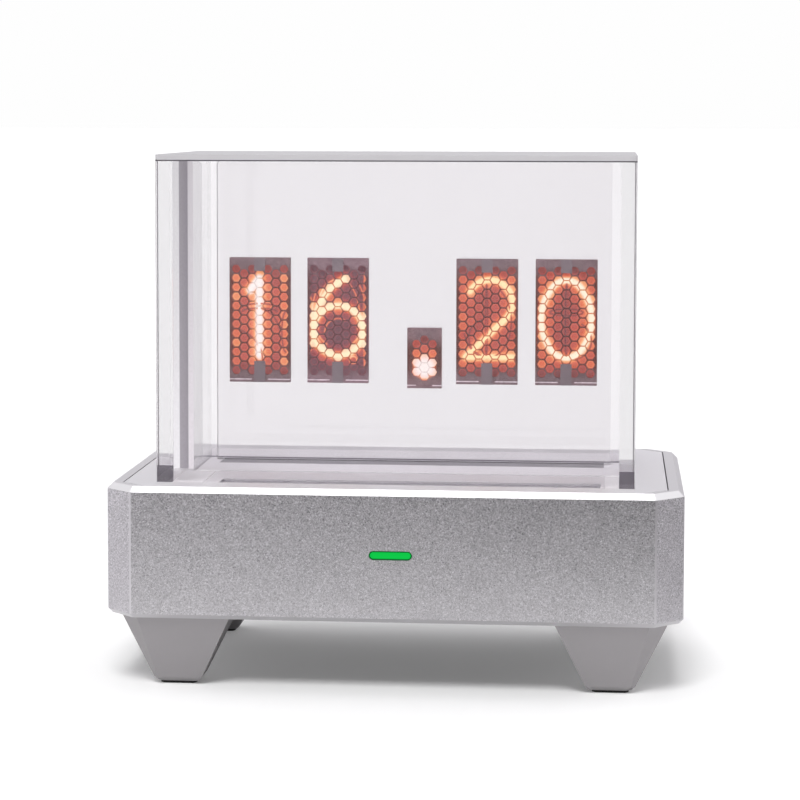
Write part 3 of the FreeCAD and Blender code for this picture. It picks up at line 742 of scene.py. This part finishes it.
    def bevel(self, thing, width=0.15 * MM):
        """Breaks the four outer upright edges."""
        select_only(thing)
        bpy.ops.object.mode_set(mode="EDIT")
        bpy.ops.mesh.select_mode(type="EDGE")
        bpy.ops.mesh.select_all(action="DESELECT")
        bpy.ops.object.mode_set(mode="OBJECT")
        corners = [vertex.co for vertex in thing.data.vertices]
        low_x, high_x = min(c.x for c in corners), max(c.x for c in corners)
        low_y, high_y = min(c.y for c in corners), max(c.y for c in corners)
        for edge in thing.data.edges:
            first, second = (thing.data.vertices[place].co for place in edge.vertices)
            upright = abs(first.z - second.z) > 0.5 * BOND
            from_side = min(first.x - low_x, high_x - first.x)
            from_end = min(first.y - low_y, high_y - first.y)
            edge.select = upright and from_side + from_end < 0.1 * MM
        bpy.ops.object.mode_set(mode="EDIT")
        bpy.ops.mesh.bevel(offset=width, segments=1, affect="EDGES")
        bpy.ops.object.mode_set(mode="OBJECT")

    def groove(self, walls):
        """A fine seam on the outside, between the front pane and the sill under it."""
        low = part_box("hood_front_pane")[0]
        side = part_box("hood_left_pane")[1].x
        half = 0.08 * MM
        seam_low = (side, low.y - MM, low.z - half)
        seam_high = (-side, low.y + 0.5 * MM, low.z + half)
        cut_away(walls, box_mesh("seam", seam_low, seam_high))


class ClockCells(bpy.types.PropertyGroup):
    pitch: length(2.28, "Pitch", "From one row of cells to the next")
    web: length(0.28, "Web", "Width of the grid's wires")
    rim: length(0.35, "Rim", "Width of the grid's frame")
    margin: length(1.6, "Margin", "Plain strip above and below the cells")
    fineness: length(0.18, "Fineness", "Spacing of the points that carry the painted glow")


def rows_of_cells(low, high, sizes):
    """The holes of a cell's honeycomb grid, as X, Z and column, worked out as in the model."""
    middle_x = (low.x + high.x) / 2
    middle_z = (low.z + high.z) / 2
    reach = (sizes.pitch - sizes.web) / math.sqrt(3)
    half = (high.x - low.x) / 2 - sizes.rim
    column_pitch = sizes.pitch * math.sqrt(3) / 2
    columns = int((half - reach) / column_pitch + 1e-6)
    centres = []
    for column in range(-columns, columns + 1):
        shift = sizes.pitch / 2 if column % 2 else 0
        room = (high.z - low.z) / 2 - sizes.margin - sizes.pitch / 2 - shift
        rows = int(room / sizes.pitch + 1e-6)
        first = -rows - (1 if shift else 0)
        for row in range(first, rows + 1):
            centre = (middle_x + column * column_pitch, middle_z + row * sizes.pitch + shift, column)
            centres.append(centre)
    return centres


# How each numeral's cell glows, with widths in millimetres: the colours of its wire and of the haze over
# its grid, how strongly the wire lights the whole cell, how wide its own glow is, how far it warms whole
# holes and how much they then shine, how warm the holes are from the middle column outwards, and how much
# of the glow floods the grid.
LOOKS = {
    "1": {"hot": "#fff3ef", "haze": "#000000", "halo": 0.3, "stroke": 0.9, "spread": 1.3, "bead": 0.4,
          "ground": (0.56, 0.48, 0.34, 0.56), "flood": 1.0},
    "6": {"hot": "#ffefc8", "haze": "#4a1f2c", "halo": 0.34, "stroke": 0.55, "spread": 0.95, "bead": 0.86,
          "ground": (0.03, 0.05, 0.06, 0.05), "flood": 0.7},
    "2": {"hot": "#ffe9b4", "haze": "#000000", "halo": 0.25, "stroke": 0.6, "spread": 0.8, "bead": 0.3,
          "ground": (0.36, 0.30, 0.36, 0.42), "flood": 0.55},
    "0": {"hot": "#fff2d8", "haze": "#000000", "halo": 0.25, "stroke": 0.62, "spread": 0.85, "bead": 0.35,
          "ground": (0.22, 0.32, 0.42, 0.46), "flood": 0.65},
    "dot": {"hot": "#fff1ee", "haze": "#000000", "halo": 0.4, "stroke": 1.0, "spread": 1.9, "bead": 0.9,
            "ground": (0.35, 0.40, 0.40, 0.40), "flood": 1.0},
}

# Unlit wires of other numerals: centre and half sizes of an oval in millimetres from the cell's middle,
# the part of it that shows in degrees, and 1 if it glows red or -1 if it stays dark.
GHOSTS = {
    "1": (
        ((-0.2, 3.0), (4.3, 0.9), (0, 180), -1),
        ((-0.2, 2.0), (4.3, 0.8), (0, 180), -1),
        ((-0.4, -5.5), (5.6, 8.2), (20, 80), -1),
        ((-8.5, -10.0), (9.0, 8.0), (0, 75), -1),
        ((6.3, -3.0), (1.0, 5.0), (90, 270), -1),
    ),
    "6": (
        ((0.0, 1.5), (5.4, 8.6), (95, 205), 1),
        ((0.0, 1.5), (5.2, 8.6), (-25, 75), 1),
        ((6.5, 0.0), (0.25, 11.5), (0, 360), 1),
        ((-6.8, -1.0), (0.2, 6.5), (0, 360), 1),
        ((0.0, -3.2), (3.4, 3.6), (60, 175), 1),
        ((3.7, -9.8), (0.9, 0.9), (0, 360), 1),
        ((0.3, 2.5), (6.4, 9.5), (-65, 40), 1),
        ((-0.2, 2.2), (6.2, 9.0), (150, 245), 1),
    ),
    "2": (
        ((-0.2, 0.0), (0.25, 9.0), (0, 360), -1),
        ((0.0, 0.0), (5.9, 9.0), (200, 420), -1),
        ((0.0, -4.0), (4.5, 4.6), (100, 250), -1),
    ),
    "0": (
        ((0.0, 0.3), (0.25, 9.0), (60, 300), -1),
        ((0.0, 2.4), (4.0, 0.8), (0, 360), -1),
        ((1.5, -4.5), (4.6, 4.6), (-80, 60), -1),
    ),
    "dot": (),
}

# Points along one oval, and the half width and reach of the line drawn through them, in millimetres
GHOST_STEPS = 160
GHOST_WIDTH = 0.19
GHOST_REACH = 0.32

# Where the holes' warmth and the film's light rise from nought, from the cell's upper or lower end
HOLE_FADE = (3.0 * MM, 5.0 * MM)
STRIP_FADE = (0.6 * MM, 2.6 * MM)

# Width of the halo around the wire in millimetres, and how far from the wire the film is evenly hot
HALO_WIDTH = 1.5
WIRE_CORE = 0.2 * MM

# Where the tint of the grid's plain strips starts and is full, from the cell's end, where its tab ends,
# from the middle, and how high above the foot its painted highlight line lies, and half the line's width
STRIP_EDGE = (5.0 * MM, 2.0 * MM)
TAB_SIDE = (1.9 * MM, 2.1 * MM)
HIGHLIGHT_HEIGHT = 0.7 * MM
HIGHLIGHT_HALF = 0.13 * MM

# Colour of the glowing gas from cold to hot; the hottest is the wire's own
HEAT = (
    (0.00, "#000000"),
    (0.15, "#7a2418"),
    (0.35, "#b93e22"),
    (0.55, "#e56c34"),
    (0.78, "#f8b070"),
)


def heat_colour(heat, hot):
    """Light of the gas from its heat: none when cold, then red, orange and the wire's own colour."""
    heat = min(max(heat, 0.0), 1.0)
    steps = HEAT + ((1.00, hot),)
    for (low, cool), (high, warm) in zip(steps, steps[1:]):
        if heat <= high:
            part = (heat - low) / (high - low)
            return [a + (b - a) * part for a, b in zip(linear(cool), linear(warm))]


def nearest_wire(wire):
    """A search tree over the faces of a numeral's wire."""
    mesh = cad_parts[wire].data
    points = [vertex.co for vertex in mesh.vertices]
    return BVHTree.FromPolygons(points, [list(face.vertices) for face in mesh.polygons])


def ghost_points(name, middle):
    """Points along the unlit wires of a cell, as a search tree, with the sign of each."""
    found = []
    signs = []
    for (x, z), (wide, tall), (start, end), sign in GHOSTS[name]:
        for step in range(GHOST_STEPS + 1):
            turn = math.radians(start + (end - start) * step / GHOST_STEPS)
            spot_x = middle.x + (x + wide * math.cos(turn)) * MM
            spot_z = middle.z + (z + tall * math.sin(turn)) * MM
            found.append((spot_x, 0, spot_z))
            signs.append(sign)
    tree = KDTree(max(len(found), 1))
    for number, spot in enumerate(found):
        tree.insert(spot, number)
    tree.balance()
    return tree, signs


def ease(value, low, high):
    """Nought below a range, one above it, and a smooth rise within it."""
    part = min(max((value - low) / (high - low), 0.0), 1.0)
    return part * part * (3 - 2 * part)


def bell(gap, width):
    """One at no distance, falling away smoothly over a width in millimetres."""
    return math.exp(-((gap / (width * MM)) ** 2))


def fine_plate(name, like, sizes):
    """A closed plate in the place of a node, fine enough to carry a painted glow."""
    low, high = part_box(like)
    size = high - low
    middle = (low + high) / 2
    bpy.ops.object.select_all(action="DESELECT")
    bpy.ops.mesh.primitive_grid_add(
        x_subdivisions=round(size.x / sizes.fineness),
        y_subdivisions=round(size.z / sizes.fineness),
        size=1,
        location=(middle.x, low.y, middle.z),
        rotation=(math.radians(90), 0, 0),
    )
    plate = bpy.context.object
    plate.name = name
    plate.scale = (size.x, size.z, 1)
    bpy.ops.object.transform_apply(location=True, rotation=True, scale=True)
    thick = plate.modifiers.new("thickness", "SOLIDIFY")
    thick.thickness = size.y
    thick.offset = -1
    bpy.ops.object.modifier_apply(modifier=thick.name)
    return plate


def paint_points(thing, colour_at):
    paint = thing.data.color_attributes.new("glow", "FLOAT_COLOR", "POINT")
    for vertex, place in zip(thing.data.vertices, paint.data):
        place.color = colour_at(vertex.co)


def glowing_cell(name, number, sizes, gas):
    """Lights a cell: its film is hottest along the wire and warm behind each hole, and its grid glows."""
    if number == "dot":
        backing, grid, wire = "dot_backing", "dot_grid", "dot_mark"
    else:
        backing, grid, wire = (f"digit_{part}_{number}" for part in ("backing", "grid", "wire"))
    look = LOOKS[name]
    low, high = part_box(grid)
    wire_tree = nearest_wire(wire)
    wire_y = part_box(wire)[1].y
    ghosts, signs = ghost_points(name, (low + high) / 2)
    random.seed(name)
    cells = rows_of_cells(low, high, sizes)
    cell_tree = KDTree(len(cells))
    warmth = []
    for place, (x, z, column) in enumerate(cells):
        cell_tree.insert((x, 0, z), place)
        edge = min(z - low.z, high.z - z)
        ground = look["ground"][min(abs(column), 3)] * (0.35 + 0.65 * ease(edge, *HOLE_FADE))
        gap = wire_tree.find_nearest(Vector((x, wire_y, z)))[3]
        warmth.append((ground * random.uniform(0.75, 1.15), bell(gap, look["spread"])))
    cell_tree.balance()
    apothem = (sizes.pitch - sizes.web) / 2

    def hazed(heat):
        """The gas's light, or the haze where that is lighter."""
        return [max(light, haze) for light, haze in zip(heat_colour(heat, look["hot"]), linear(look["haze"]))]

    def colour_at(spot):
        """The film's light: the wire's stroke, the warm disc and rim behind a hole, the halo and ghosts."""
        flat = Vector((spot.x, 0, spot.z))
        gap = wire_tree.find_nearest(Vector((spot.x, wire_y, spot.z)))[3]
        place, distance = cell_tree.find(flat)[1:]
        ground, near = warmth[place]
        centre_x, centre_z = cells[place][:2]
        slant = abs(spot.x - centre_x) * math.sqrt(0.75) + abs(spot.z - centre_z) / 2
        reach = (distance + max(slant, abs(spot.z - centre_z))) / 2
        disc = 0.2 + 0.8 * (1 - ease(reach, 0.88 * apothem, 1.12 * apothem))
        rim = 0.12 * bell(reach - 0.8 * apothem, 0.12)
        stroke = max(bell(gap, look["stroke"]), 1 - ease(gap, WIRE_CORE, look["stroke"] * MM))
        heat = 1 - (1 - stroke) * (1 - look["bead"] * near * disc) * (1 - (ground + rim) * disc)
        heat = 1 - (1 - heat) * (1 - look["halo"] * bell(gap, HALO_WIDTH))
        ghost, at = ghosts.find(flat)[1:] if signs else (0, 1.0)
        if signs and at < GHOST_REACH * MM:
            strength = bell(at, GHOST_WIDTH)
            if signs[ghost] < 0:
                heat = heat * (1 - 0.75 * strength)
            else:
                heat = heat + (0.62 - heat * 0.5) * strength
        strip = ease(min(spot.z - low.z, high.z - spot.z), *STRIP_FADE)
        return hazed(heat * strip)

    def web_colour_at(spot):
        """The grid's light: strong over the wire, and a little from the warm holes beside it."""
        gap = wire_tree.find_nearest(Vector((spot.x, wire_y, spot.z)))[3]
        ground = warmth[cell_tree.find(Vector((spot.x, 0, spot.z)))[1]][0]
        glow = look["flood"] * (1 - ease(gap, 0.15 * MM, 1.7 * look["stroke"] * MM))
        return hazed(1 - (1 - glow) * (1 - 0.15 * ground))

    film = fine_plate(f"glowing_film_{number}", backing, sizes)
    paint_points(film, colour_at)
    film.data.materials.append(gas)
    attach(film, "clock")
    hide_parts(backing)

    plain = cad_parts[grid]
    lit = plain.copy()
    lit.data = plain.data.copy()
    lit.name = f"lit_grid_{number}"
    bpy.context.scene.collection.objects.link(lit)
    paint_points(lit, web_colour_at)
    lit.data.materials.clear()
    lit.data.materials.append(grid_material(low, high))
    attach(lit, "clock")
    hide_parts(grid)


def gas_material():
    """Smoked film lit by neon gas: a purple-brown face that shines where the paint says."""
    material = new_material("smoked film lit by neon gas")
    paint = node(material, "Attribute", attribute_name="glow")
    shader = node(
        material,
        "BsdfPrincipled",
        {
            "Base Color": linear("#5c4046"),
            "Roughness": 0.6,
            "Emission Color": paint.outputs["Color"],
            "Emission Strength": 1.0,
        },
    )
    node(material, "OutputMaterial", {"Surface": shader})
    return material


def grid_material(low, high):
    """Oxidised steel grid: rusty brown wires, plain grey strips at top and bottom, and a painted highlight
    line.
    """
    material = new_material("oxidised steel grid")
    place = node(material, "TexCoord").outputs["Object"]
    parts = node(material, "SeparateXYZ", {0: place})
    across, height = parts.outputs["X"], parts.outputs["Z"]
    half = (high.z - low.z) / 2
    middle = {0: height, 1: (low.z + high.z) / 2}
    away = node(material, "Math", middle, operation="SUBTRACT")
    from_middle = node(material, "Math", {0: away}, operation="ABSOLUTE")
    tint = changing(
        material,
        linear("#3f1a14"),
        (from_middle, half - STRIP_EDGE[0], half - STRIP_EDGE[1], linear("#6e5c61")),
    )
    # Painted highlight: a pale line just above the foot, on either side of the tab.
    centre = {0: across, 1: (low.x + high.x) / 2}
    aside = node(material, "Math", centre, operation="SUBTRACT")
    width = node(material, "Math", {0: aside}, operation="ABSOLUTE")
    ends = {"Value": width, "From Min": TAB_SIDE[0], "From Max": TAB_SIDE[1]}
    beside_tab = node(material, "MapRange", ends)
    highlight_height = {0: height, 1: low.z + HIGHLIGHT_HEIGHT}
    from_highlight = node(material, "Math", highlight_height, operation="SUBTRACT")
    on_highlight = node(material, "Math", {0: from_highlight, 1: 0.0, 2: HIGHLIGHT_HALF}, operation="COMPARE")
    line = node(material, "Math", {0: beside_tab, 1: on_highlight}, operation="MULTIPLY")
    shares = {"Factor": line, "A": tint, "B": linear("#d8ccd2")}
    with_painted_highlight = node(material, "Mix", shares, data_type="RGBA")
    blotches = {"Vector": place, "Scale": 1 / (0.7 * MM), "Detail": 3.0}
    stain = node(material, "TexNoise", blotches)
    mottle = node(
        material,
        "MapRange",
        {"Value": stain, "From Min": 0.3, "From Max": 0.7, "To Min": 0.75, "To Max": 1.2},
    )
    mottled = node(
        material,
        "Mix",
        {"Factor": 1.0, "A": with_painted_highlight, "B": mottle},
        data_type="RGBA",
        blend_type="MULTIPLY",
    )
    paint = node(material, "Attribute", attribute_name="glow")
    shader = node(
        material,
        "BsdfPrincipled",
        {
            "Base Color": mottled,
            "Metallic": 0.2,
            "Roughness": 0.5,
            "Emission Color": paint.outputs["Color"],
            "Emission Strength": 0.8,
        },
    )
    node(material, "OutputMaterial", {"Surface": shader})
    return material


def hot_wire(code):
    """Nickel wire in glowing gas: brighter than the film behind it."""
    material = new_material("white-hot nickel wire")
    glow = node(material, "Emission", {"Color": linear(code), "Strength": 1.15})
    node(material, "OutputMaterial", {"Surface": glow})
    return material


class CLOCK_OT_display(bpy.types.Operator):
    """Finishes the clear display plate and lights its digit cells"""

    bl_idname = "clock.display"
    bl_label = "Display"

    def execute(self, context):
        sizes = context.scene.clock_cells
        satin = linear("#d0ced2")
        plate = acrylic("tinted acrylic", linear("#f6f5f6"), ground_edges=satin, polished_axis="Y")
        dress(["display_plate"], plate)

        # Lacquer on the tabs is a plain grey, a little warmer than the strips that they lie on
        dress(["digit_tabs"], plastic("grey lacquer", linear("#6f6066"), 0.4))
        gas = gas_material()
        for number, name in zip((*DIGITS, "dot"), LOOKS):
            wire = "dot_mark" if number == "dot" else f"digit_wire_{number}"
            dress([wire], hot_wire(LOOKS[name]["hot"]))
            glowing_cell(name, number, sizes, gas)
        return {"FINISHED"}


class CLOCK_OT_small_parts(bpy.types.Operator):
    """Finishes the light, the buttons, the inlet, the screws and what is inside the housing"""

    bl_idname = "clock.small_parts"
    bl_label = "Small parts"

    def execute(self, context):
        dress(["status_lens"], self.light_guide(context.scene.clock_finishes.light))

        # Black and dark ABS: matt, with a mould's fine grain
        buttons = [f"setting_button_{number}" for number in (1, 2, 3)]
        dress(buttons, plastic("black ABS", linear("#2c2b2e"), 0.4))
        dark = plastic("dark ABS cover", linear("#3a393c"), 0.5)
        dress(["bottom_cover", "button_switches", "cell_holder"], dark)
        dress(["control_chip", "lamp_driver", "lamp_header"], dark)

        # Nickel is warm and bright, zinc a duller grey, and stainless steel pale
        dress(["power_inlet"], smooth_metal("nickel-plated steel", linear("#b9b8ba"), 0.25))
        screws = [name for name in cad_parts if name.endswith("screws")]
        dress(screws, smooth_metal("zinc-plated steel", linear("#a9a8ab"), 0.3))
        dress(["coin_cell"], smooth_metal("stainless steel", linear("#c4c3c6"), 0.25))

        # Solder mask is a glossy green, and the lamps' resin a milky yellow
        dress(["main_board", "lamp_board"], plastic("green solder mask", linear("#14502c"), 0.35))
        dress(["status_led", "lamp_leds"], plastic("LED resin", linear("#efe9c8"), 0.3))
        return {"FINISHED"}

    def light_guide(self, green):
        """Green acrylic lit from behind: bright in the middle, with a dark rim where it meets the metal."""
        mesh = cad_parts["status_lens"].data
        front = min(vertex.co.y for vertex in mesh.vertices)
        face = [vertex.co for vertex in mesh.vertices if vertex.co.y < front + 0.1 * MM]
        half = max(spot.x for spot in face)
        low, high = min(spot.z for spot in face), max(spot.z for spot in face)
        radius = (high - low) / 2
        material = new_material("green acrylic light guide")
        place = node(material, "TexCoord").outputs["Object"]
        parts = node(material, "SeparateXYZ", {0: place})
        off_x = node(material, "Math", {0: parts.outputs["X"]}, operation="ABSOLUTE")
        past = node(material, "Math", {0: off_x, 1: half - radius}, operation="SUBTRACT")
        beyond = node(material, "Math", {0: past, 1: 0.0}, operation="MAXIMUM")
        middle = {0: parts.outputs["Z"], 1: (low + high) / 2}
        off_z = node(material, "Math", middle, operation="SUBTRACT")
        spot = node(material, "CombineXYZ", {0: beyond, 2: off_z})
        reach = node(material, "VectorMath", {0: spot}, operation="LENGTH")
        rim = (reach.outputs["Value"], radius - 0.34 * MM, radius - 0.16 * MM, linear("#0d5a2a"))
        tint = changing(material, green, rim)
        glow = node(material, "Emission", {"Color": tint, "Strength": 1.0})
        node(material, "OutputMaterial", {"Surface": glow})
        return material


class CLOCK_PT_panel(bpy.types.Panel):
    bl_idname = "CLOCK_PT_panel"
    bl_label = "Clock"
    bl_space_type = "VIEW_3D"
    bl_region_type = "UI"
    bl_category = "Clock"

    def draw(self, context):
        for operator in OPERATORS:
            self.layout.operator(operator.bl_idname)


OPERATORS = (CLOCK_OT_stage, CLOCK_OT_housing, CLOCK_OT_hood, CLOCK_OT_display, CLOCK_OT_small_parts)
GROUPS = {"clock_stage": ClockStage, "clock_finishes": ClockFinishes, "clock_cells": ClockCells}


def register():
    for name, group in GROUPS.items():
        bpy.utils.register_class(group)
        setattr(bpy.types.Scene, name, bpy.props.PointerProperty(type=group))
    for operator in OPERATORS:
        bpy.utils.register_class(operator)
    bpy.utils.register_class(CLOCK_PT_panel)


def unregister():
    bpy.utils.unregister_class(CLOCK_PT_panel)
    for operator in reversed(OPERATORS):
        bpy.utils.unregister_class(operator)
    for name, group in reversed(GROUPS.items()):
        delattr(bpy.types.Scene, name)
        bpy.utils.unregister_class(group)


def main():
    register()
    for operator in OPERATORS:
        family, name = operator.bl_idname.split(".")
        getattr(getattr(bpy.ops, family), name)()


if __name__ == "__main__":
    main()
